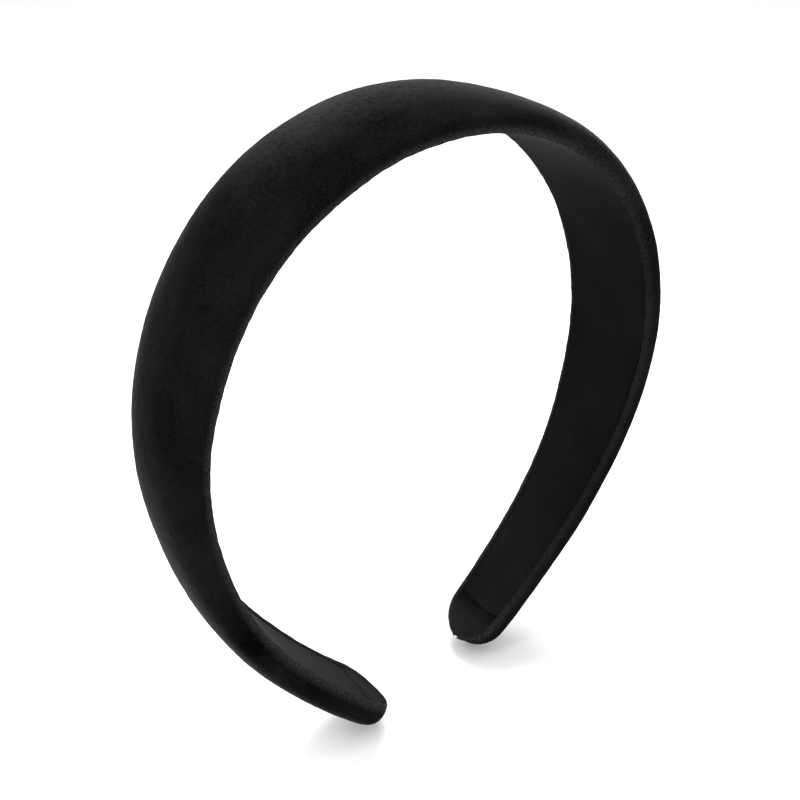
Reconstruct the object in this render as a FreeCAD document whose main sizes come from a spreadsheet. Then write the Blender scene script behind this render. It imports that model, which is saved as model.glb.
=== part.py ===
# A padded velvet headband.
#
# Frame: millimetres, +Z up, the wearer faces -Y, +X is the wearer's left. The origin is the middle of the
# crown's inner face, the spot that rests on top of the head.
#
# Side view (XZ plane): the inner face follows tangent arcs from the crown down each arm. The crown's arc is
# centred below the origin; each arm goes on with a side arc, a lower arc and a nearly straight tip arc.
# Every layer is a strip between two offsets from that inner face, narrowed towards the tips:
#   lining, lining glue, core band, pad tape, foam pad, and the velvet cover wrapped round all of them.
# The band springs open, so each layer is cut at the two shoulders into a crown and two arms. The left arm is
# modelled and the right arm is its mirror image.
import FreeCAD, Part
import math
import os
import Sketcher

doc = FreeCAD.newDocument("headband")

# ---------------------------------------------------------------- driving dimensions

DIMENSIONS = [
    ("crown_radius", 54.5, "inner face radius over the top of the head"),
    ("side_radius", 64.1, "inner face radius beside the head"),
    ("lower_radius", 95.7, "inner face radius behind the ears"),
    ("tip_radius", 180.3, "inner face radius at the tips"),
    ("shoulder_angle", 53.9, "degrees turned from the middle of the crown to the shoulder"),
    ("side_angle", 96.8, "degrees turned at the end of the side arc"),
    ("lower_angle", 125.3, "degrees turned at the end of the lower arc"),
    ("tip_angle", 137.4, "degrees turned at the tip"),
    ("crown_width", 31.0, "front to back, middle of the crown"),
    ("shoulder_width", 28.8, "front to back, at the shoulders"),
    ("tip_width", 17.2, "front to back, just before the round tip"),
    ("lining_top", 0.6, "offset of the lining's outer side: the lining is 0.6 thick"),
    ("core_bottom", 1.4, "offset of the core band's inner side, the cover's hems lie below it"),
    ("core_top", 3.0, "offset of the core band's outer side: the core is 1.6 thick"),
    ("tape_top", 3.2, "offset of the pad tape's outer side: the tape is 0.2 thick"),
    ("foam_top", 6.0, "offset of the foam pad's outer side"),
    ("cover_top", 6.8, "offset of the velvet's outer side: the velvet is 0.8 thick"),
    ("lining_inset", 1.4, "lining edge in from the band's edge"),
    ("hem_width", 7.0, "cover's turned-under hem, measured in from the band's edge"),
    ("core_inset", 1.4, "core edge in from the band's edge"),
    ("tape_inset", 2.6, "tape edge in from the band's edge"),
    ("foam_inset", 1.0, "foam edge in from the band's edge"),
    ("lining_stop", 10.5, "lining ends this far before the tip"),
    ("tape_stop", 5.0, "tape ends this far before the tip, square"),
    ("cover_round", 4.2, "radius along the cover's outer edges"),
    ("edge_round", 0.9, "radius along the cover's inner edges"),
    ("foam_round", 2.6, "radius along the foam's outer edges"),
    ("tip_fullness", 0.97, "tip corner radius, as a share of half the tip's width"),
    ("flex_gap", 0.25, "saw cut between crown and arm at each flex line"),
    ("margin", 20.0, "cutting outlines reach this far past the band"),
]

sizes = doc.addObject("Spreadsheet::Sheet", "Sizes")
for row, (alias, value, meaning) in enumerate(DIMENSIONS, start=1):
    sizes.set(f"A{row}", alias.replace("_", " "))
    sizes.set(f"B{row}", str(value))
    sizes.set(f"C{row}", meaning)
    sizes.setAlias(f"B{row}", alias)
doc.recompute()


def size(alias):
    return float(sizes.get(alias))


def formula(text):
    """Write a formula over sheet names: each {name} becomes its cell, each {name:deg} an angle."""
    for alias, _, _ in DIMENSIONS:
        text = text.replace("{" + alias + "}", f"Sizes.{alias}")
        text = text.replace("{" + alias + ":deg}", f"(Sizes.{alias} * 1 deg)")
    return text


# ---------------------------------------------------------------- the inner face's arcs

ARCS = ["crown", "side", "lower", "tip"]
TURNS = ["shoulder", "side", "lower", "tip"]     # where each of those arcs ends


def arc_centre_formula(arc):
    """X and Z of an arc's centre: each centre lies on the last one's end radius, so the arcs are tangent."""
    across = ["0"]
    up = ["-{crown_radius}"]
    for before, after, turn in zip(ARCS, ARCS[1:], TURNS):
        if ARCS.index(after) > ARCS.index(arc):
            break
        step = f"({{{before}_radius}} - {{{after}_radius}})"
        across.append(f"{step} * sin({{{turn}_angle:deg}})")
        up.append(f"{step} * cos({{{turn}_angle:deg}})")
    return formula(" + ".join(across)), formula(" + ".join(up))


def arc_centre(arc):
    x, z = 0.0, -size("crown_radius")
    for before, after, turn in zip(ARCS, ARCS[1:], TURNS):
        if ARCS.index(after) > ARCS.index(arc):
            break
        step = size(before + "_radius") - size(after + "_radius")
        angle = math.radians(size(turn + "_angle"))
        x += step * math.sin(angle)
        z += step * math.cos(angle)
    return FreeCAD.Vector(x, z, 0)


TIP_UP = arc_centre_formula("tip")[1] + formula(" + {tip_radius} * cos({tip_angle:deg})")
SHOULDER_UP = formula("(-{crown_radius} * (1 - cos({shoulder_angle:deg})))")
SHOULDER_OUT = formula("({crown_radius} * sin({shoulder_angle:deg}))")
GAP_ANGLE = formula("({flex_gap} / {crown_radius} * 1 rad)")


# ---------------------------------------------------------------- sketch helpers

def new_sketch(body, name, plane):
    sketch = body.newObject("Sketcher::SketchObject", name)
    origin_plane = next(f for f in body.Origin.OriginFeatures if f.Role == plane)
    sketch.AttachmentSupport = [(origin_plane, "")]
    sketch.MapMode = "FlatFace"
    return sketch


def constrain(sketch, name, expression, *definition):
    """Add a dimension, name it and bind it to a formula."""
    index = sketch.addConstraint(Sketcher.Constraint(*definition))
    sketch.renameConstraint(index, name)
    sketch.setExpression(f"Constraints.{name}", expression)


def closed_outline(sketch, name, corners):
    """Straight-sided outline; each corner is a start (x, y) and the formulas that hold it."""
    first = sketch.GeometryCount
    count = len(corners)
    starts = [FreeCAD.Vector(x, y, 0) for (x, y), _ in corners]
    for i in range(count):
        sketch.addGeometry(Part.LineSegment(starts[i], starts[(i + 1) % count]), False)
    for i in range(count):
        following = first + (i + 1) % count
        sketch.addConstraint(Sketcher.Constraint("Coincident", first + i, 2, following, 1))
    for i, ((x, y), (across, up)) in enumerate(corners):
        constrain(sketch, f"{name}_x{i}", across, "DistanceX", -1, 1, first + i, 1, x)
        constrain(sketch, f"{name}_y{i}", up, "DistanceY", -1, 1, first + i, 1, y)


def box_outline(sketch, name, half_width, low, high):
    """Rectangle about the Y axis of the sketch, from formulas for its half width, bottom and top."""
    closed_outline(sketch, name, [
        ((-60, -200), (f"-({half_width})", low)),
        ((60, -200), (half_width, low)),
        ((60, 50), (half_width, high)),
        ((-60, 50), (f"-({half_width})", high)),
    ])


def side_profile(body, arcs, inner, outer, start_angle, end_angle):
    """Strip between two offsets from the inner face, along a chain of tangent arcs, in the XZ plane.

    start_angle and end_angle are (degrees, formula).
    """
    sketch = new_sketch(body, "SideProfile", "XZ_Plane")
    normal = FreeCAD.Vector(0, 0, 1)
    turns = [start_angle[0]] + [size(arc + "_angle") for arc in arcs[:-1]] + [end_angle[0]]
    offsets = {"inner": size(inner) if inner else 0.0, "outer": size(outer)}
    cells = {"inner": f" + Sizes.{inner}" if inner else "", "outer": f" + Sizes.{outer}"}
    chain = {}
    for side, offset in offsets.items():
        chain[side] = []
        for i, arc in enumerate(arcs):
            low = math.radians(90 - turns[i + 1])
            high = math.radians(90 - turns[i])
            circle = Part.Circle(arc_centre(arc), normal, size(arc + "_radius") + offset)
            chain[side].append(sketch.addGeometry(Part.ArcOfCircle(circle, low, high), False))
    ends = []
    for turn, arc, at in ((turns[0], arcs[0], 2), (turns[-1], arcs[-1], 1)):
        direction = FreeCAD.Vector(math.sin(math.radians(turn)), math.cos(math.radians(turn)), 0)
        inner_point = arc_centre(arc) + direction * (size(arc + "_radius") + offsets["inner"])
        outer_point = arc_centre(arc) + direction * (size(arc + "_radius") + offsets["outer"])
        line = sketch.addGeometry(Part.LineSegment(inner_point, outer_point), False)
        place = 0 if at == 2 else -1
        sketch.addConstraint(Sketcher.Constraint("Coincident", line, 1, chain["inner"][place], at))
        sketch.addConstraint(Sketcher.Constraint("Coincident", line, 2, chain["outer"][place], at))
        sketch.addConstraint(Sketcher.Constraint("PointOnObject", chain["inner"][place], 3, line))
        ends.append(line)
    for inner_arc, outer_arc in zip(chain["inner"], chain["outer"]):
        sketch.addConstraint(Sketcher.Constraint("Coincident", inner_arc, 3, outer_arc, 3))
    for side in chain:
        for before, after in zip(chain[side], chain[side][1:]):
            sketch.addConstraint(Sketcher.Constraint("Tangent", before, 1, after, 2))
    centre = arc_centre_formula(arcs[0])
    start = arc_centre(arcs[0])
    first = chain["inner"][0]
    constrain(sketch, "centre_x", centre[0], "DistanceX", -1, 1, first, 3, start.x)
    constrain(sketch, "centre_z", centre[1], "DistanceY", -1, 1, first, 3, start.y)
    for arc, index in zip(arcs, chain["inner"]):
        radius = size(arc + "_radius") + offsets["inner"]
        constrain(sketch, f"{arc}_inside", f"Sizes.{arc}_radius{cells['inner']}", "Radius", index, radius)
    outside = size(arcs[0] + "_radius") + offsets["outer"]
    constrain(sketch, "outside", f"Sizes.{arcs[0]}_radius{cells['outer']}", "Radius", chain["outer"][0], outside)
    hold_angle(sketch, "start_angle", ends[0], turns[0], start_angle[1])
    hold_angle(sketch, "end_angle", ends[1], turns[-1], end_angle[1])
    for i, arc in enumerate(arcs[:-1]):
        hold_junction(sketch, arc, chain["inner"][i], turns[i + 1])
    return sketch


def hold_angle(sketch, name, line, degrees, expression):
    """Direction of an end line, as the angle that it makes with the sketch's +X axis."""
    angle = math.radians(90 - degrees)
    constrain(sketch, name, f"90 deg - ({expression})", "Angle", line, angle)


def hold_junction(sketch, arc, index, degrees):
    """A construction radius to the point where one arc hands over to the next."""
    angle = math.radians(90 - degrees)
    centre = arc_centre(arc)
    rim = centre + FreeCAD.Vector(math.cos(angle), math.sin(angle), 0) * sketch.Geometry[index].Radius
    spoke = sketch.addGeometry(Part.LineSegment(centre, rim), True)
    sketch.addConstraint(Sketcher.Constraint("Coincident", spoke, 1, index, 3))
    sketch.addConstraint(Sketcher.Constraint("Coincident", spoke, 2, index, 1))
    hold_angle(sketch, f"{arc}_end", spoke, degrees, formula(f"{{{arc}_angle:deg}}"))


# ---------------------------------------------------------------- features shared by the layers

def pad_across(body, sketch):
    """Draw the side profile out to both sides, wider than the band."""
    pad = body.newObject("PartDesign::Pad", "Strip")
    pad.Profile = sketch
    pad.SideType = "Symmetric"
    pad.setExpression("Length", formula("{crown_width} + {margin}"))
    return pad


def cut_through(body, sketch, name):
    """Cut away what the sketch covers, right through the band."""
    pocket = body.newObject("PartDesign::Pocket", name)
    pocket.Profile = sketch
    pocket.SideType = "Symmetric"
    pocket.Length = 600
    return pocket


def crown_sides(body, inset):
    """The crown seen from above: arcs along front and back, widest in the middle."""
    sketch = new_sketch(body, "CrownOutline", "XY_Plane")
    drop = (size("crown_width") - size("shoulder_width")) / 2
    reach = size("crown_radius") * math.sin(math.radians(size("shoulder_angle")))
    radius = (reach ** 2 + drop ** 2) / (2 * drop)
    drop_text = formula("(({crown_width} - {shoulder_width}) / 2)")
    radius_text = f"(({SHOULDER_OUT})^2 + {drop_text}^2) / (2 * {drop_text})"
    half = size("crown_width") / 2 - (size(inset) if inset else 0.0)
    half_text = formula("{crown_width} / 2") + (f" - Sizes.{inset}" if inset else "")
    far = reach + size("margin")
    up = FreeCAD.Vector(0, 0, 1)
    swing = math.asin(far / radius)
    quarter = math.pi / 2
    back = sketch.addGeometry(Part.ArcOfCircle(
        Part.Circle(FreeCAD.Vector(0, half - radius, 0), up, radius), quarter - swing, quarter + swing), False)
    front = sketch.addGeometry(Part.ArcOfCircle(
        Part.Circle(FreeCAD.Vector(0, radius - half, 0), up, radius), -quarter - swing, -quarter + swing), False)
    level = math.sqrt(radius ** 2 - far ** 2) - radius + half
    left = sketch.addGeometry(
        Part.LineSegment(FreeCAD.Vector(-far, level, 0), FreeCAD.Vector(-far, -level, 0)), False)
    right = sketch.addGeometry(
        Part.LineSegment(FreeCAD.Vector(far, -level, 0), FreeCAD.Vector(far, level, 0)), False)
    for one, one_end, other, other_end in (
            (back, 2, left, 1), (left, 2, front, 1), (front, 2, right, 1), (right, 2, back, 1)):
        sketch.addConstraint(Sketcher.Constraint("Coincident", one, one_end, other, other_end))
    for arc, sign, name in ((back, 1, "back"), (front, -1, "front")):
        sketch.addConstraint(Sketcher.Constraint("PointOnObject", arc, 3, -2))
        constrain(sketch, f"{name}_radius", radius_text, "Radius", arc, radius)
        middle = f"{'' if sign > 0 else '-'}({half_text} - {radius_text})"
        constrain(sketch, f"{name}_middle", middle, "DistanceY", -1, 1, arc, 3, sign * (half - radius))
    for line, sign, name in ((left, -1, "left"), (right, 1, "right")):
        sketch.addConstraint(Sketcher.Constraint("Vertical", line))
        reach_text = f"{'' if sign > 0 else '-'}({SHOULDER_OUT} + Sizes.margin)"
        constrain(sketch, f"{name}_reach", reach_text, "DistanceX", -1, 1, line, 1, sign * far)
    wide = formula("{crown_radius} + {margin} * 2")
    box_outline(sketch, "around", wide, f"-({wide})", wide)
    return sketch


def arm_sides(body, inset):
    """The arm seen from the side: straight edges that close in from the shoulder to the tip."""
    sketch = new_sketch(body, "ArmOutline", "YZ_Plane")
    less = f" - Sizes.{inset}" if inset else ""
    slope = formula("({shoulder_width} - {tip_width}) / 2") + f" / ({SHOULDER_UP} - ({TIP_UP}))"
    top = formula(f"{{shoulder_width}} / 2 - {SHOULDER_UP} * ({slope})") + less
    low = formula(f"({TIP_UP}) - {{margin}}")
    bottom = formula(f"{{tip_width}} / 2 - {{margin}} * ({slope})") + less
    closed_outline(sketch, "taper", [
        ((-8, -160), (f"-({bottom})", low)),
        ((8, -160), (bottom, low)),
        ((15, 0), (top, "0")),
        ((-15, 0), (f"-({top})", "0")),
    ])
    wide = formula("{crown_width} / 2 + {margin}")
    box_outline(sketch, "around", wide, f"{low} - Sizes.margin", "Sizes.margin")
    return sketch


def tip_corners(feature):
    """Names of the two short straight edges at the tip's corners, which run through the strip's thickness."""
    turn = math.radians(size("tip_angle"))
    names = []
    for number, edge in enumerate(feature.Shape.Edges, start=1):
        if edge.Curve.TypeId != "Part::GeomLine":
            continue
        direction = edge.Curve.Direction
        across_strip = abs(direction.x * math.sin(turn) + direction.z * math.cos(turn))
        if across_strip > 0.99:
            names.append(f"Edge{number}")
    return names


def round_tip(body, base, inset):
    """Round both corners by nearly half the tip's width."""
    fillet = body.newObject("PartDesign::Fillet", "RoundTip")
    fillet.Base = (base, tip_corners(base))
    less = f" - Sizes.{inset}" if inset else ""
    fillet.setExpression("Radius", f"(Sizes.tip_width / 2{less}) * Sizes.tip_fullness")
    doc.recompute()
    return fillet


def long_edges(feature, offset):
    """Names of the curved edges at one offset from the inner face: the band's two long edges and its tip."""
    names = []
    for number, edge in enumerate(feature.Shape.Edges, start=1):
        if edge.Curve.TypeId == "Part::GeomLine":
            continue
        middle = edge.valueAt((edge.FirstParameter + edge.LastParameter) / 2)
        gaps = []
        for arc in ARCS:
            centre = arc_centre(arc)
            distance = math.hypot(middle.x - centre.x, middle.z - centre.y)
            gaps.append(abs(distance - size(arc + "_radius") - offset))
        if min(gaps) < 0.01:
            names.append(f"Edge{number}")
    return names


def round_edges(body, base, name, offset, radius_alias):
    fillet = body.newObject("PartDesign::Fillet", name)
    fillet.Base = (base, long_edges(base, offset))
    fillet.setExpression("Radius", f"Sizes.{radius_alias}")
    return fillet


# ---------------------------------------------------------------- one stretch of one layer

def crown_layer(label, inner, outer, inset):
    body = doc.addObject("PartDesign::Body", label)
    body.Label = label
    half = size("shoulder_angle") - math.degrees(size("flex_gap") / size("crown_radius"))
    half_text = formula("{shoulder_angle:deg}") + f" - {GAP_ANGLE}"
    sketch = side_profile(body, ["crown"], inner, outer, (-half, f"-({half_text})"), (half, half_text))
    pad_across(body, sketch)
    cut = cut_through(body, crown_sides(body, inset), "Taper")
    doc.recompute()
    return body, cut


def arm_layer(label, inner, outer, inset, stop):
    """stop names how far before the tip the layer ends; a layer that reaches the tip has it rounded."""
    body = doc.addObject("PartDesign::Body", label)
    body.Label = label
    end = size("tip_angle")
    end_text = formula("{tip_angle:deg}")
    if stop:
        end -= math.degrees(size(stop) / size("tip_radius"))
        end_text += formula(f" - {{{stop}}} / {{tip_radius}} * 1 rad")
    start = (size("shoulder_angle"), formula("{shoulder_angle:deg}"))
    sketch = side_profile(body, ["side", "lower", "tip"], inner, outer, start, (end, end_text))
    pad_across(body, sketch)
    cut = cut_through(body, arm_sides(body, inset), "Taper")
    doc.recompute()
    if stop == inset:
        cut = round_tip(body, cut, inset)
    return body, cut


def mirrored(source, label):
    mirror = doc.addObject("Part::Mirroring", label)
    mirror.Label = label
    mirror.Source = source
    mirror.Normal = (1, 0, 0)
    mirror.Base = (0, 0, 0)
    return mirror


def layer(name, inner, outer, inset, stop, edge_radii=()):
    """The crown and the left arm of one layer, with rounded long edges where it has them."""
    made = {}
    for stretch, (body, last) in (
            ("crown", crown_layer(f"{name}_crown", inner, outer, inset)),
            ("left_arm", arm_layer(f"{name}_left_arm", inner, outer, inset, stop))):
        for title, offset, radius in edge_radii:
            last = round_edges(body, last, title, offset, radius)
            doc.recompute()
        made[stretch] = body
    return made


# ---------------------------------------------------------------- the layers, from the head outwards

linings = layer("lining", None, "lining_top", "lining_inset", "lining_stop")
glues = layer("lining_glue", "lining_top", "core_bottom", "hem_width", "lining_stop")
cores = layer("core", "core_bottom", "core_top", "core_inset", "core_inset")
tapes = layer("pad_tape", "core_top", "tape_top", "tape_inset", "tape_stop")
foams = layer("foam_pad", "tape_top", "foam_top", "foam_inset", "foam_inset",
              [("SoftEdge", size("foam_top"), "foam_round")])
blanks = layer("cover_blank", None, "cover_top", None, None,
               [("OuterEdge", size("cover_top"), "cover_round"), ("InnerEdge", 0.0, "edge_round")])


def cover(stretch):
    """The velvet is all of the band's outer shape that the layers inside it don't fill."""
    filling = doc.addObject("Part::MultiFuse", f"filling_{stretch}")
    filling.Shapes = [group[stretch] for group in (linings, glues, cores, tapes, foams)]
    skin = doc.addObject("Part::Cut", f"cover_{stretch}")
    skin.Label = f"cover_{stretch}"
    skin.Base = blanks[stretch]
    skin.Tool = filling
    return skin


covers = {stretch: cover(stretch) for stretch in ("crown", "left_arm")}

subparts = []
for group in (linings, glues, cores, tapes, foams, covers):
    subparts.append(group["crown"])
    subparts.append(group["left_arm"])
    right_label = group["left_arm"].Label.replace("left_arm", "right_arm")
    subparts.append(mirrored(group["left_arm"], right_label))

doc.recompute()

# ---------------------------------------------------------------- check and write

for item in doc.Objects:
    if "Invalid" in item.State or "Error" in item.State:
        raise RuntimeError(f"{item.Label} failed: {item.State}")

os.makedirs("parts", exist_ok=True)
for item in subparts:
    shape = item.Shape
    if shape.isNull() or not shape.isValid() or len(shape.Solids) != 1:
        raise RuntimeError(f"{item.Label} isn't one valid solid")
    shape.exportStep(f"parts/{item.Label}.step")
    print(f"{item.Label}: {shape.Volume / 1000:.2f} cm3")
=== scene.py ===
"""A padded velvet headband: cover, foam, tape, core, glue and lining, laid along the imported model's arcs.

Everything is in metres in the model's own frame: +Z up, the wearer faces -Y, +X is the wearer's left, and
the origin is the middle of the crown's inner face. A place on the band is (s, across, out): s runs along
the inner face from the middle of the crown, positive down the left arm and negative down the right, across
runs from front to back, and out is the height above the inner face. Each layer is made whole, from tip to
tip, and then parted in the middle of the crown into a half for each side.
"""
import math

import bmesh
import bpy
from mathutils import Matrix, Vector, noise


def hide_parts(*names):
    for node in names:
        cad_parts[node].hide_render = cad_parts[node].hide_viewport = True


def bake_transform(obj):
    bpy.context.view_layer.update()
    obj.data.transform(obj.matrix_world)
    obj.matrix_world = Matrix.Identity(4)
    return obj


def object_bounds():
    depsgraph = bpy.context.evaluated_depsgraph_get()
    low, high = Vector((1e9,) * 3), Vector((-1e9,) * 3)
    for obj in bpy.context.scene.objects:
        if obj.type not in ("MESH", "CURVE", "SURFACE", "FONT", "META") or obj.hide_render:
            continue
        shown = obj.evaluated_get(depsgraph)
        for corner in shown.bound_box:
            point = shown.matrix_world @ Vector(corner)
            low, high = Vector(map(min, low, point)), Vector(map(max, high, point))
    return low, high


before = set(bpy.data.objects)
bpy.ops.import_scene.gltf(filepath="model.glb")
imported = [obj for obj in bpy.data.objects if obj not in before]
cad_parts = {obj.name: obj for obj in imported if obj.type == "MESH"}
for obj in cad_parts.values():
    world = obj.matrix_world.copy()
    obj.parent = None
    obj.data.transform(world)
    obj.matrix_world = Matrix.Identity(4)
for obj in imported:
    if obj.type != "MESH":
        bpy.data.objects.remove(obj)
cad_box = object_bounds()
scene = bpy.context.scene
scene.view_settings.view_transform = "Standard"

MM = 0.001

# ---------------------------------------------------------------- the camera

CAMERA_TARGET = Vector((-5.6, 0.0, -59.9)) * MM
CAMERA_TURN = 0.5876                   # radians round +Z from a view along +Y, towards the wearer's right
CAMERA_TILT = 0.5162                   # radians above the horizon
CAMERA_ROLL = -0.005
CAMERA_DISTANCE = 218.5 * MM
CAMERA_LENS = 45.2


def make_camera():
    data = bpy.data.cameras.new("camera")
    camera = bpy.data.objects.new("camera", data)
    scene.collection.objects.link(camera)
    forward = Vector((math.sin(CAMERA_TURN) * math.cos(CAMERA_TILT),
                      math.cos(CAMERA_TURN) * math.cos(CAMERA_TILT),
                      -math.sin(CAMERA_TILT)))
    aim = forward.to_track_quat("-Z", "Y").to_matrix().to_4x4()
    camera.matrix_world = (Matrix.Translation(CAMERA_TARGET - forward * CAMERA_DISTANCE)
                           @ aim @ Matrix.Rotation(CAMERA_ROLL, 4, "Z"))
    data.lens = CAMERA_LENS
    data.clip_start = 0.01
    scene.camera = camera


make_camera()

# ---------------------------------------------------------------- the band's line and sizes

ARCS = (                               # radius of the inner face, and degrees turned at the arc's end
    (54.5 * MM, 53.9),
    (64.1 * MM, 96.8),
    (95.7 * MM, 125.3),
    (180.3 * MM, 137.4),
)
BAND_WIDTHS = (31.0, 29.4, 26.8, 21.1, 17.4)   # mm, at even steps from the middle of the crown to the tip
PAD_HEIGHTS = (5.9, 6.6, 7.35, 7.55, 7.65)     # mm from the inner face to the pile's top, at the same steps
TIP_ROUND = BAND_WIDTHS[-1] / 2 * MM   # the tip is a half circle of this radius
HAND_SET = 3.6 * MM                    # the left tip sits this far back and the right one as far forward
SET_DEPTH = 150.0 * MM                 # how far down the arms that takes

LINING_THICK = 0.6 * MM
CORE_LOW = 1.4 * MM
CORE_HIGH = 3.0 * MM
TAPE_HIGH = 3.2 * MM
VELVET_THICK = 0.8 * MM
LINING_INSET = 1.4 * MM
HEM_WIDTH = 7.0 * MM
CORE_INSET = 1.4 * MM
TAPE_INSET = 2.6 * MM
FOAM_INSET = 1.0 * MM
LINING_STOP = 10.5 * MM
TAPE_STOP = 5.0 * MM


def arc_table():
    """Each arc as (start s, start angle, radius, centre), so that each starts where the last one ends."""
    rows = []
    s, turned = 0.0, 0.0
    centre = Vector((0.0, 0.0, -ARCS[0][0]))
    for i, (radius, end) in enumerate(ARCS):
        rows.append((s, turned, radius, centre.copy()))
        s += radius * (math.radians(end) - turned)
        turned = math.radians(end)
        if i + 1 < len(ARCS):
            centre += (radius - ARCS[i + 1][0]) * Vector((math.sin(turned), 0.0, math.cos(turned)))
    return rows, s


ARC_ROWS, HALF_LENGTH = arc_table()
LINING_END = HALF_LENGTH - LINING_STOP


def on_band(s, across, out):
    """The point at a place on the band."""
    side = -1.0 if s < 0 else 1.0
    walk = abs(s)
    start, turned, radius, centre = next(row for row in reversed(ARC_ROWS) if walk >= row[0])
    angle = turned + (walk - start) / radius
    point = centre + (radius + out) * Vector((math.sin(angle), 0.0, math.cos(angle)))
    fall = min(max(-point.z / SET_DEPTH, 0.0), 1.0)
    return Vector((side * point.x, across + side * HAND_SET * fall ** 1.5, point.z))


def along_band(table, s):
    """A smooth curve through a table's values at even steps from the crown to the tip, level at the crown."""
    last = len(table) - 1
    at = min(max(abs(s) / HALF_LENGTH, 0.0), 1.0) * last
    i = min(int(at), last - 1)
    f = at - i
    low, high = table[i], table[i + 1]
    before = table[i - 1] if i else table[1]
    after = table[i + 2] if i + 2 <= last else 2 * high - low
    leave, arrive = (high - before) / 2, (after - low) / 2
    value = ((2 * f ** 3 - 3 * f ** 2 + 1) * low + (f ** 3 - 2 * f ** 2 + f) * leave
             + (3 * f ** 2 - 2 * f ** 3) * high + (f ** 3 - f ** 2) * arrive)
    return value * MM


def half_width(s):
    """Half the band's width at s, as if its tips weren't rounded off."""
    return along_band(BAND_WIDTHS, min(abs(s), HALF_LENGTH - TIP_ROUND)) / 2


def smooth(low, high, value):
    t = min(max((value - low) / (high - low), 0.0), 1.0)
    return t * t * (3 - 2 * t)


def end_share(s, end, reach, power):
    """1 along a layer, then down to 0 over its last reach; power 2 ends it in a half circle, more squarer."""
    past = (abs(s) - (end - reach)) / reach
    return max(1 - past ** power, 0.0) ** (1 / power) if past > 0 else 1.0


def spaced(t, end, reach):
    """s at an even step t, from -1 to 1, with the steps closing up over the last reach at each end."""
    straight = end - reach
    walk = abs(t) * (straight + reach * math.pi / 2)
    if walk > straight:
        walk = straight + reach * math.sin((walk - straight) / reach)
    return math.copysign(walk, t)


# ---------------------------------------------------------------- building pieces

def wrapped_grid(steps_along, steps_around, place):
    """A flat grid laid over the whole band: place(t, q) takes t from tip to tip and q around the section."""
    bm = bmesh.new()
    bmesh.ops.create_grid(bm, x_segments=steps_along, y_segments=steps_around, size=1.0)
    uv = bm.loops.layers.uv.new("cloth")
    for face in bm.faces:
        for loop in face.loops:
            loop[uv].uv = ((loop.vert.co.x + 1) * HALF_LENGTH, loop.vert.co.y * CUT_HALF_WIDTH)
    for vert in bm.verts:
        vert.co = place(vert.co.x, vert.co.y)
    bmesh.ops.remove_doubles(bm, verts=bm.verts, dist=0.004 * MM)
    bmesh.ops.dissolve_degenerate(bm, edges=bm.edges, dist=0.002 * MM)
    bmesh.ops.recalc_face_normals(bm, faces=bm.faces)
    return bm


def new_object(name, bm, material):
    mesh = bpy.data.meshes.new(name)
    bm.to_mesh(mesh)
    bm.free()
    piece = bpy.data.objects.new(name, mesh)
    scene.collection.objects.link(piece)
    mesh.materials.append(material)
    mesh.shade_smooth()
    return piece


def half_of(whole, side, capped):
    """One side of a whole band, parted at the middle of the crown."""
    bm = whole.copy()
    geometry = bm.verts[:] + bm.edges[:] + bm.faces[:]
    bmesh.ops.bisect_plane(bm, geom=geometry, dist=0.001 * MM, plane_co=(0, 0, 0), plane_no=(side, 0, 0),
                           clear_inner=True)
    parting = [e for e in bm.edges if e.is_boundary and max(abs(v.co.x) for v in e.verts) < 0.01 * MM]
    if capped:
        bmesh.ops.holes_fill(bm, edges=parting)
    for edge in parting:
        edge.smooth = False
    return bm


HANDS = (("left", 1), ("right", -1))


def parted(name, whole, material, capped=True):
    """Both halves of a layer as {hand: piece}."""
    halves = {hand: new_object(f"{name}_{hand}", half_of(whole, side, capped), material)
              for hand, side in HANDS}
    whole.free()
    return halves


def tube_place(section, end, reach):
    """Lays a closed section along the band: section(s, q) gives (across, out) as q runs once round it."""
    def place(t, q):
        s = spaced(t, end, reach)
        across, out = section(s, q)
        return on_band(s, across, out)
    return place


def strip_section(inset, low, high, end, reach, power, squareness=9):
    """The section of a flat strip with slightly rounded edges."""
    def section(s, q):
        angle = math.pi * q
        half = (half_width(s) - inset) * end_share(s, end, reach, power)
        c, n = math.cos(angle), math.sin(angle)
        across = half * math.copysign(abs(c) ** (2 / squareness), c)
        rise = math.copysign(abs(n) ** (2 / squareness), n)
        return across, (low + high) / 2 + (high - low) / 2 * rise
    return section


# ---------------------------------------------------------------- the velvet cover

DOME_POWER = 2.16                      # 2 would be a plain ellipse, more is fuller at the edges
WIDEST_OUT = 2.6 * MM                  # height of the band's widest line
ROLL_IN = 1.15 * MM                    # from the band's edge in to the roll's lowest line
ROLL_DROP = 0.35 * MM                  # the roll stands proud of the lining by this
ROLL_SPREAD = 0.3 * MM                 # down the arms the roll grows this much wider
TIP_ROLL_DROP = 0.4 * MM               # and this much prouder, where the cloth has more to spare
CREASE_IN = 1.5 * MM                   # from the band's edge in to where the hem turns flat
DOME_SHARE = 0.60                      # shares of the half section from the crest down to the hem's end
ROLL_SHARE = 0.76
CREASE_SHARE = 0.83
CUT_HALF_WIDTH = 30.0 * MM             # half the width that the cloth's pattern is laid over


def gathered(s):
    """How far the cloth is gathered: 0 over the crown, 1 down the arms, and 0 again at the very tips."""
    return smooth(110 * MM, 155 * MM, abs(s)) * smooth(0, 9 * MM, HALF_LENGTH - abs(s))


def roll_spread(s):
    return ROLL_SPREAD * gathered(s)


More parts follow.
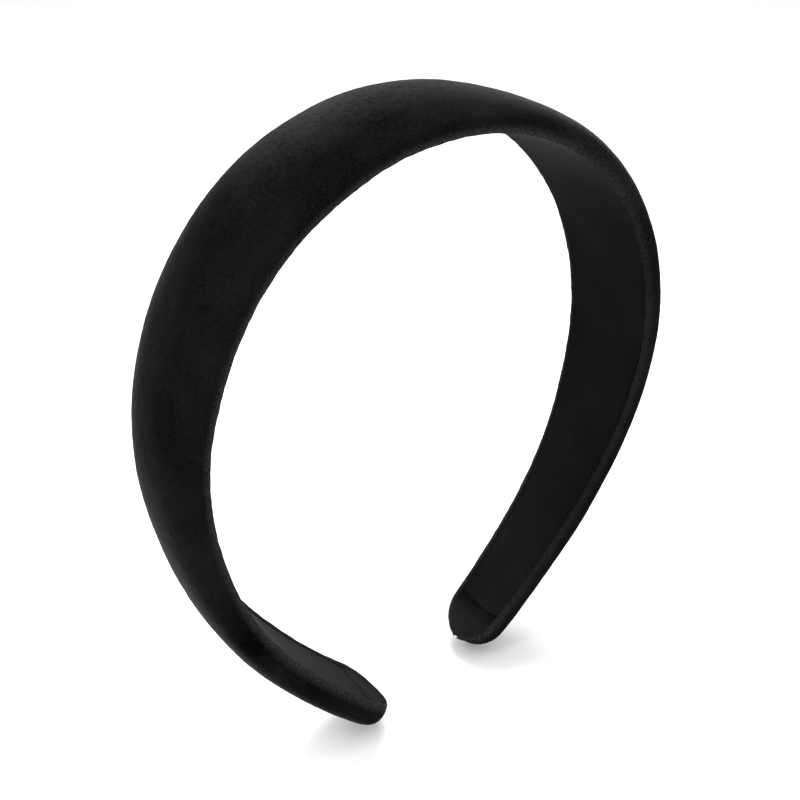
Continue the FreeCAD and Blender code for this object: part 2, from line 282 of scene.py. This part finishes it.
def cover_section(s, q):
    """(across, out) of the cover's pile face, with q from the crest (0) to the hem's end (1 and -1)."""
    turn = abs(q)
    share = end_share(s, HALF_LENGTH, TIP_ROUND, 2)
    half = half_width(s) * share
    lift = share ** 0.5
    top = along_band(PAD_HEIGHTS, s) * lift
    widest = min(WIDEST_OUT, 0.45 * top)
    low = -(ROLL_DROP + TIP_ROLL_DROP * gathered(s)) * share
    roll_in = min(ROLL_IN + roll_spread(s), 0.4 * half)
    bare = smooth(LINING_END - 1.3 * MM, LINING_END - 0.1 * MM, abs(s))
    crease_in = min(CREASE_IN + roll_spread(s), 0.6 * half)
    crease_out = LINING_THICK * (1 - 0.9 * bare) * share
    if turn <= DOME_SHARE:
        angle = math.pi / 2 * (1 - turn / DOME_SHARE)
        across = half * math.cos(angle) ** (2 / DOME_POWER)
        out = widest + (top - widest) * math.sin(angle) ** (2 / DOME_POWER)
    elif turn <= ROLL_SHARE:
        angle = math.pi / 2 * (turn - DOME_SHARE) / (ROLL_SHARE - DOME_SHARE)
        across = half - roll_in * (1 - math.cos(angle))
        out = widest + (low - widest) * math.sin(angle)
    elif turn <= CREASE_SHARE:
        f = (turn - ROLL_SHARE) / (CREASE_SHARE - ROLL_SHARE)
        across = half - roll_in - (crease_in - roll_in) * f
        out = low + (crease_out - low) * smooth(0, 1, f)
    else:
        f = (turn - CREASE_SHARE) / (1 - CREASE_SHARE)
        closing = smooth(HALF_LENGTH - 2.2 * LINING_STOP, HALF_LENGTH - 1.3 * LINING_STOP, abs(s))
        hem_in = max(min(HEM_WIDTH + (half - HEM_WIDTH) * closing, half), crease_in)
        across = half - crease_in - (hem_in - crease_in) * f
        out = crease_out
    return math.copysign(across, q), out


def cut_width(s):
    """Width of the cover's cloth at s, hem to hem."""
    points = [Vector(cover_section(s, i / 120 - 1)) for i in range(241)]
    return sum((b - a).length for a, b in zip(points, points[1:]))


def cut_sizes(width_at, end):
    """(widest width, length, area) of the cloth for one half of the band, out to end."""
    steps = 60
    widths = [width_at(end * (i + 0.5) / steps) for i in range(steps)]
    return max(widths), end, sum(widths) * end / steps


PUFF = 0.35 * MM                       # how far the cloth may swell over the foam
HELD_FROM = 0.40                       # share of the half section from which the edges hold the cloth
TIP_HELD_FROM = 16 * MM                # and how far from a tip its hold starts
TIP_HELD_FULLY = 6 * MM
CLOTH_ALONG, CLOTH_AROUND = 290, 84    # steps of the cloth's grid


def puffed(bm):
    """Swell the cover over the foam by cloth simulation, held at its hems, rolls and tips."""
    start = [v.co.copy() for v in bm.verts]
    hold = []
    uv = bm.loops.layers.uv["cloth"]
    for vert in bm.verts:
        place = vert.link_loops[0][uv].uv
        turn = abs(place.y) / CUT_HALF_WIDTH
        walk = abs(place.x - HALF_LENGTH)
        near_tip = smooth(HALF_LENGTH - TIP_HELD_FROM, HALF_LENGTH - TIP_HELD_FULLY, walk)
        hold.append(max(smooth(HELD_FROM, DOME_SHARE, turn), near_tip))
    cloth = new_object("cover cloth", bm, VELVET)
    group = cloth.vertex_groups.new(name="held")
    for index, weight in enumerate(hold):
        group.add([index], weight, "REPLACE")
    swell = cloth.modifiers.new("swell", "CLOTH")
    swell.settings.quality = 4
    swell.settings.mass = 0.2
    swell.settings.tension_stiffness = 12.0
    swell.settings.compression_stiffness = 12.0
    swell.settings.bending_stiffness = 0.3
    swell.settings.use_pressure = True
    swell.settings.uniform_pressure_force = 4.0
    swell.settings.vertex_group_mass = "held"
    swell.settings.effector_weights.gravity = 0.0
    swell.collision_settings.use_collision = False
    for step in range(1, 13):
        scene.frame_set(step)
    view = bpy.context.evaluated_depsgraph_get()
    settled = bpy.data.meshes.new_from_object(cloth.evaluated_get(view))
    for vert, was, weight in zip(settled.vertices, start, hold):
        move = vert.co - was
        limit = PUFF * (1 - weight)
        if move.length > limit:
            vert.co = was + move * (limit / move.length)
        if abs(was.x) < 0.001 * MM:
            vert.co.x = 0.0
    scene.frame_set(1)
    bpy.data.objects.remove(cloth)
    done = bmesh.new()
    done.from_mesh(settled)
    bpy.data.meshes.remove(settled)
    return done


def subdivided(bm):
    """One level of smooth subdivision, applied to the whole band so that its middle stays smooth."""
    base = new_object("cover base", bm, VELVET)
    rounder = base.modifiers.new("rounder", "SUBSURF")
    rounder.levels = 1
    rounder.render_levels = 1
    view = bpy.context.evaluated_depsgraph_get()
    finer = bpy.data.meshes.new_from_object(base.evaluated_get(view))
    bpy.data.objects.remove(base)
    done = bmesh.new()
    done.from_mesh(finer)
    bpy.data.meshes.remove(finer)
    return done


HOLLOW_SCALE, PULL_SCALE, NAP_SCALE, TUFT_SCALE = 70.0, 260.0, 620.0, 1400.0   # bumps per metre, roughly
HOLLOW_HEIGHT, PULL_HEIGHT, NAP_HEIGHT, TUFT_HEIGHT = 0.14, 0.05, 0.08, 0.05   # mm


def uneven(bm):
    """The cloth's small unevenness: soft hollows where it was pulled by hand, and the nap's ragged tufts."""
    bm.normal_update()
    uv = bm.loops.layers.uv["cloth"]
    for vert in bm.verts:
        turn = abs(vert.link_loops[0][uv].uv.y) / CUT_HALF_WIDTH
        rolled = smooth(DOME_SHARE - 0.08, DOME_SHARE + 0.04, turn) * smooth(CREASE_SHARE, ROLL_SHARE, turn)
        hollow = noise.noise(vert.co * HOLLOW_SCALE)
        pull = noise.noise(vert.co * PULL_SCALE + Vector((7.0, 0.0, 0.0)))
        nap = noise.noise(vert.co * NAP_SCALE)
        tuft = noise.noise(vert.co * TUFT_SCALE)
        height = (HOLLOW_HEIGHT * hollow + (PULL_HEIGHT + PULL_HEIGHT * rolled) * pull
                  + NAP_HEIGHT * rolled * nap + TUFT_HEIGHT * tuft) * MM
        to_tip = HALF_LENGTH - abs(vert.link_loops[0][uv].uv.x - HALF_LENGTH)
        move = vert.normal * height * smooth(0.5 * MM, 6 * MM, to_tip)
        if abs(vert.co.x) < 0.001 * MM:
            move.x = 0.0
        vert.co += move
    return bm


def make_cover():
    flat = wrapped_grid(CLOTH_ALONG, CLOTH_AROUND, tube_place(cover_section, HALF_LENGTH, TIP_ROUND))
    halves = parted("velvet_cover", uneven(subdivided(puffed(flat))), VELVET, capped=False)
    for piece in halves.values():
        shell = piece.modifiers.new("cloth thickness", "SOLIDIFY")
        shell.thickness = VELVET_THICK
        shell.offset = -1.0
    return halves


# ---------------------------------------------------------------- the foam pad

FOAM_LIFT = 0.06 * MM                  # above the tape
FOAM_UNDER = 0.12 * MM                 # below the cloth
FOAM_POWER = 1.8
FOAM_BASE_SHARE = 0.35                 # share of the section that is its flat base


def foam_section(s, q):
    end = HALF_LENGTH - FOAM_INSET
    share = end_share(s, end, TIP_ROUND - FOAM_INSET, 2)
    half = (half_width(s) - FOAM_INSET) * share
    base = TAPE_HIGH + FOAM_LIFT
    cloth_back = along_band(PAD_HEIGHTS, s) * share ** 0.5 - VELVET_THICK - FOAM_UNDER
    top = max(cloth_back, base + 0.1 * MM)
    turn = abs(q)
    if turn >= 1 - FOAM_BASE_SHARE:
        return math.copysign(half * (1 - turn) / FOAM_BASE_SHARE, q), base
    angle = math.pi / 2 * (1 - turn / (1 - FOAM_BASE_SHARE))
    across = half * math.cos(angle) ** (2 / FOAM_POWER)
    return math.copysign(across, q), base + (top - base) * math.sin(angle) ** (2 / FOAM_POWER)


def make_foam():
    end = HALF_LENGTH - FOAM_INSET
    whole = wrapped_grid(220, 56, tube_place(foam_section, end, TIP_ROUND - FOAM_INSET))
    return parted("foam_pad", whole, FOAM)


# ---------------------------------------------------------------- core, films and lining

SQUARE_REACH = 1.2 * MM                # a square end's corners are rounded over this
SQUARE_POWER = 4
FILM_GAP = 0.03 * MM                   # between one flat layer and the next


def make_strip(name, material, inset, low, high, end, reach, power, steps_along, steps_around):
    section = strip_section(inset, low + FILM_GAP, high - FILM_GAP, end, reach, power)
    return parted(name, wrapped_grid(steps_along, steps_around, tube_place(section, end, reach)), material)


def make_core():
    return make_strip("core_band", CORE, CORE_INSET, CORE_LOW, CORE_HIGH, HALF_LENGTH - CORE_INSET,
                      TIP_ROUND - CORE_INSET, 2, 200, 32)


def make_tape():
    return make_strip("pad_tape", TAPE, TAPE_INSET, CORE_HIGH, TAPE_HIGH, HALF_LENGTH - TAPE_STOP,
                      SQUARE_REACH, SQUARE_POWER, 160, 24)


def make_glue():
    return make_strip("lining_glue", GLUE, HEM_WIDTH, LINING_THICK, CORE_LOW, LINING_END,
                      SQUARE_REACH, SQUARE_POWER, 160, 24)


LINING_EDGE_WANDER = 0.12 * MM
LINING_GROOVE = 0.4 * MM               # the dark groove beside the velvet roll over the crown
LINING_CORNER = 2.2 * MM               # its ends' corners are rounded over this
LINING_CORNER_POWER = 3


def make_lining():
    """The lining lies on the hems; its cut edges wander a little and its face is not quite flat."""
    section = strip_section(LINING_INSET + LINING_GROOVE / 2, 0.0, LINING_THICK, LINING_END,
                            LINING_CORNER, LINING_CORNER_POWER, squareness=7)

    def place(t, q):
        s = spaced(t, LINING_END, LINING_CORNER)
        across, out = section(s, q)
        wander = noise.noise(Vector((s * 160.0, math.copysign(3.0, across), 0.0)))
        drawn_in = LINING_GROOVE * (1 - smooth(60 * MM, 105 * MM, abs(s))) + roll_spread(s)
        move = (LINING_EDGE_WANDER + 0.2 * roll_spread(s)) * wander - drawn_in
        across += math.copysign(move * smooth(0, 6 * MM, abs(across)), across)
        swell = noise.noise(Vector((s * 90.0, across * 120.0, 4.0)))
        pressed_thin = 1 - 0.85 * smooth(LINING_END - 2.5 * MM, LINING_END - 0.3 * MM, abs(s))
        return on_band(s, across, out * pressed_thin + 0.07 * MM * swell)

    return parted("lining_strip", wrapped_grid(300, 72, place), LINING)


# ---------------------------------------------------------------- materials

class Value:
    """A shader socket that takes part in Python expressions; each operator adds its Math node."""

    def __init__(self, tree, socket):
        self.tree = tree
        self.socket = socket

    def math(self, operation, *others):
        node = self.tree.nodes.new("ShaderNodeMath")
        node.operation = operation
        for slot, value in zip(node.inputs, (self, *others)):
            connect(self.tree, value, slot)
        return Value(self.tree, node.outputs[0])

    def __add__(self, other):
        return self.math("ADD", other)

    __radd__ = __add__

    def __mul__(self, other):
        return self.math("MULTIPLY", other)

    __rmul__ = __mul__

    def __sub__(self, other):
        return self.math("SUBTRACT", other)

    def __rsub__(self, other):
        return (self * -1) + other

    def clamped(self):
        return self.math("MAXIMUM", 0.0).math("MINIMUM", 1.0)

    def ramp(self, low, high):
        """0 at low, 1 at high, straight between them and level beyond."""
        return ((self - low) * (1 / (high - low))).clamped()


def connect(tree, value, slot):
    if isinstance(value, Value):
        tree.links.new(value.socket, slot)
    else:
        slot.default_value = value


class Finish:
    """One procedural material being made."""

    def __init__(self, name):
        self.material = bpy.data.materials.new(name)
        self.material.use_nodes = True
        self.tree = self.material.node_tree
        self.tree.nodes.clear()

    def node(self, kind, output=0, settings=None, **inputs):
        """Any node: its settings first, then its inputs by name or number, and the output that is wanted."""
        made = self.tree.nodes.new("ShaderNode" + kind)
        for key, value in (settings or {}).items():
            setattr(made, key, value)
        for key, value in inputs.items():
            slot = int(key[1:]) if key[1:].isdigit() else key.replace("_", " ")
            connect(self.tree, value, made.inputs[slot])
        return Value(self.tree, made.outputs[output])

    def object_place(self):
        return self.node("TexCoord", "Object")

    def cloth_place(self, stretch):
        """The place on the cloth in metres, along and across, scaled by stretch."""
        place = self.node("UVMap", settings={"uv_map": "cloth"})
        return self.node("Mapping", Vector=place, Scale=stretch)

    def noise(self, place, scale, detail=2.0, roughness=0.5):
        return self.node("TexNoise", "Fac", Vector=place, Scale=scale, Detail=detail, Roughness=roughness)

    def mixed(self, factor, low, high):
        """A colour between two, by factor."""
        return self.node("Mix", 2, {"data_type": "RGBA"}, i0=factor, i6=low, i7=high)

    def bump(self, height, strength, distance):
        return self.node("Bump", Height=height, Strength=strength, Distance=distance)

    def surface(self, **inputs):
        """The one shader of the finish."""
        shader = self.node("BsdfPrincipled", **inputs)
        out = self.tree.nodes.new("ShaderNodeOutputMaterial")
        self.tree.links.new(shader.socket, out.inputs["Surface"])
        return self.material


HIGHLIGHT_LOW, HIGHLIGHT_HIGH = -10.0 * MM, 8.0 * MM      # over the crown's top a painted highlight stands in for the pile's sheen, most of all towards the back edge and down the wearer's left
HIGHLIGHT_FRONT, HIGHLIGHT_BACK = -9.0 * MM, 13.0 * MM    # most of all towards the back edge
HIGHLIGHT_LEAN = 0.36                                 # and down the wearer's left
ROLL_SHEEN_AT = 0.73 * CUT_HALF_WIDTH                 # where the cloth turns over the edge the pile stands open, with a painted sheen on it, lighter towards the back edge and less so along the front of the left arm
ROLL_SHEEN_REACH = 3.0 * MM
FRONT_LEFT_FROM, FRONT_LEFT_TO = 15.0 * MM, 30.0 * MM    # less so along the front of the left arm
EDGE_SIDE = 4.0 * MM                              # this far from the middle line is front or back
TIP_LIGHTER_FROM = 0.79 * CUT_HALF_WIDTH              # the velvet is lighter where it is turned under at the tips, below this height
TIP_LIGHTER_HEIGHT = -133.0 * MM                      # under at the tips, below this height
BLACK = (0.0006, 0.0006, 0.0006, 1)
SOFT_BLACK = (0.0095, 0.0095, 0.0096, 1)
# grey of the painted highlight and sheen, the opened pile and the lighter turned-under tips
HIGHLIGHT_AND_PILE_GREY = (0.038, 0.038, 0.039, 1)


def velvet():
    """Cut pile: almost black face on, with a painted highlight over the crown, opened pile with a painted
    sheen along the roll, lighter turned-under tips, and a thin sheen.
    """
    finish = Finish("black velvet")
    place = finish.object_place()
    sideways, depth, height = (finish.node("SeparateXYZ", axis, Vector=place) for axis in range(3))
    cloth = finish.node("UVMap", settings={"uv_map": "cloth"})
    across = finish.node("SeparateXYZ", 1, Vector=cloth).math("ABSOLUTE")
    brushed = finish.noise(place, 48.0, 3.0, 0.55)
    streaks = finish.noise(finish.cloth_place((1500.0, 800.0, 1.0)), 1.0, 2.0, 0.6)
    tufts = finish.noise(place, 2300.0, 3.0, 0.65)
    shade = ((brushed - 0.5) * 1.3 + (streaks - 0.5) * 0.5 + (tufts - 0.5) * 0.9 + 0.41).clamped()

    # painted highlight: lighter over the top of the crown, towards its back edge and down the wearer's left
    lean = sideways.math("MAXIMUM", 0.0) * HIGHLIGHT_LEAN
    crest = (height + lean).ramp(HIGHLIGHT_LOW, HIGHLIGHT_HIGH) * (depth + lean).ramp(HIGHLIGHT_FRONT, HIGHLIGHT_BACK)
    painted_highlight = crest * ((brushed - 0.5) * 1.0 + (streaks - 0.5) * 1.4 + (tufts - 0.5) * 1.2 + 0.64)
    front_left = sideways.ramp(FRONT_LEFT_FROM, FRONT_LEFT_TO) * depth.ramp(0.0, -EDGE_SIDE)
    behind = depth.ramp(0.0, EDGE_SIDE)
    # painted sheen along the roll, partly the real opened pile: lighter towards the back edge, dimmer along
    # the front of the left arm
    from_roll = (across - ROLL_SHEEN_AT).math("ABSOLUTE")
    opened_pile_and_sheen = from_roll.ramp(ROLL_SHEEN_REACH, ROLL_SHEEN_REACH / 3) * ((tufts - 0.5) * 2.4 + 0.5).clamped()
    opened_pile_and_sheen = opened_pile_and_sheen * (0.8 - front_left * 0.5 + behind * 0.6)
    # lighter where the cloth is turned under at the tips, below a given height
    turned_under = across.ramp(TIP_LIGHTER_FROM, TIP_LIGHTER_FROM + 1 * MM)
    tip_lighter = turned_under * height.ramp(TIP_LIGHTER_HEIGHT, TIP_LIGHTER_HEIGHT - 3 * MM)
    # the painted highlight and sheen, together with the opened pile and the lighter tips
    lighter_pile_and_highlight = (painted_highlight + opened_pile_and_sheen + tip_lighter * ((brushed - 0.5) * 0.5 + 0.2)).clamped()

    colour = finish.mixed(lighter_pile_and_highlight, finish.mixed(shade, BLACK, SOFT_BLACK), HIGHLIGHT_AND_PILE_GREY)
    normal = finish.bump(tufts * 0.6 + streaks * 0.4, 0.6, 0.18 * MM)
    return finish.surface(Base_Color=colour, Roughness=0.9, Normal=normal, Specular_IOR_Level=0.0,
                          Sheen_Weight=0.12, Sheen_Roughness=0.25, Sheen_Tint=(0.95, 0.95, 0.96, 1))


LINING_DARK = (0.0026, 0.0026, 0.0026, 1)
# the lighter end carries the random tone and the painted light towards the tips
LINING_LIGHTER = (0.0086, 0.0086, 0.0087, 1)


def brushed_lining():
    """Matt brushed cloth, much smoother than the velvet, and painted a little lighter towards the tips, where
    more light falls on it.
    """
    finish = Finish("brushed lining")
    place = finish.object_place()
    grain = finish.noise(place, 2400.0, 2.0, 0.6)
    patches = finish.noise(place, 60.0, 2.0, 0.5)
    ribs = finish.noise(finish.cloth_place((3000.0, 500.0, 1.0)), 1.0, 1.0, 0.5)
    # painted light: the lining is lighter lower down, towards the tips, where it faces up into the light
    painted_tip_light = finish.node("SeparateXYZ", 2, Vector=place) * -3.0 - 0.22
    shade = ((grain - 0.5) * 1.1 + (patches - 0.5) * 1.2 + (ribs - 0.5) * 0.4 + 0.5 + painted_tip_light).clamped()
    colour = finish.mixed(shade, LINING_DARK, LINING_LIGHTER)
    normal = finish.bump(grain * 0.7 + ribs * 0.3, 0.35, 0.12 * MM)
    return finish.surface(Base_Color=colour, Roughness=0.85, Normal=normal, Specular_IOR_Level=0.01,
                          Sheen_Weight=0.06, Sheen_Roughness=0.3)


def grained(name, low, high, roughness, scale, depth):
    finish = Finish(name)
    grain = finish.noise(finish.object_place(), scale, 2.0, 0.5)
    return finish.surface(Base_Color=finish.mixed(grain, low, high), Roughness=roughness,
                          Normal=finish.bump(grain, 0.5, depth))


VELVET = velvet()
LINING = brushed_lining()
FOAM = grained("open-cell foam", (0.18, 0.18, 0.17, 1), (0.32, 0.32, 0.31, 1), 0.95, 1600.0, 0.3 * MM)
GLUE = grained("set glue", (0.62, 0.58, 0.45, 1), (0.76, 0.72, 0.58, 1), 0.35, 260.0, 0.08 * MM)
CORE = grained("moulded plastic", (0.02, 0.02, 0.02, 1), (0.035, 0.035, 0.035, 1), 0.45, 700.0, 0.02 * MM)
TAPE = grained("adhesive film", (0.68, 0.67, 0.63, 1), (0.78, 0.77, 0.73, 1), 0.5, 500.0, 0.02 * MM)

# ---------------------------------------------------------------- the layers, from the head outwards

SHOULDER = math.radians(ARCS[0][1]) * ARCS[0][0]
BEND_REACH = 44.0 * MM                 # two points this far each side of a shoulder are worked out, and not used further


def bend_at_shoulder(piece, side):
    start = on_band(side * (SHOULDER - BEND_REACH), 0.0, CORE_HIGH)
    end = on_band(side * (SHOULDER + BEND_REACH), 0.0, CORE_HIGH)
    start.y = 0.0
    end.y = 0.0
    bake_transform(piece)


LAYERS = (("lining", "lining", make_lining), ("lining_glue", "glue", make_glue), ("core", "core", make_core),
          ("pad_tape", "tape", make_tape), ("foam_pad", "foam", make_foam), ("cover", "velvet", make_cover))

made = {}
for layer, slot, make in LAYERS:
    made[layer] = make()
    for hand, side in HANDS:
        piece = made[layer][hand]
        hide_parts(f"{layer}_crown", f"{layer}_{hand}_arm")
        bend_at_shoulder(piece, side)


def lining_width(s):
    return along_band(BAND_WIDTHS, s) - 2 * (LINING_INSET + roll_spread(s))


COVER_CUT = cut_sizes(cut_width, HALF_LENGTH)
LINING_CUT = cut_sizes(lining_width, LINING_END)

# ---------------------------------------------------------------- floor and light

FLOOR_DROP = 3.0 * MM                  # clear of the tips when the arms are sprung open


def make_floor():
    bm = bmesh.new()
    bmesh.ops.create_grid(bm, x_segments=1, y_segments=1, size=6.0)
    finish = Finish("pale floor")
    grain = finish.noise(finish.object_place(), 60.0)
    colour = finish.mixed(grain, (0.93, 0.93, 0.93, 1), (0.95, 0.95, 0.95, 1))
    floor = new_object("floor", bm, finish.surface(Base_Color=colour, Roughness=0.9))
    floor.data.transform(Matrix.Translation((0.0, 0.0, cad_box[0].z - FLOOR_DROP)))


def make_light(name, place, size, power):
    data = bpy.data.lights.new(name, "AREA")
    data.shape = "DISK"
    data.size = size
    data.energy = power
    light = bpy.data.objects.new(name, data)
    light.matrix_world = (Matrix.Translation(place)
                          @ (CAMERA_TARGET - Vector(place)).to_track_quat("-Z", "Y").to_matrix().to_4x4())
    scene.collection.objects.link(light)


def make_world(strength):
    """Even white light from all round."""
    world = bpy.data.worlds.new("studio")
    world.use_nodes = True
    glow = world.node_tree.nodes["Background"]
    glow.inputs["Color"].default_value = (1, 1, 1, 1)
    glow.inputs["Strength"].default_value = strength
    scene.world = world


make_floor()
make_light("ceiling softbox", (0.0, 0.0, 2.0), 4.0, 62.0)
make_light("top softbox", (0.14, 0.14, 0.40), 0.3, 2.6)
make_light("left softbox", (-0.5, 0.0, 0.5), 0.4, 2.2)
make_light("front softbox", (-0.1, -0.6, 0.05), 0.4, 1.6)
make_world(0.46)
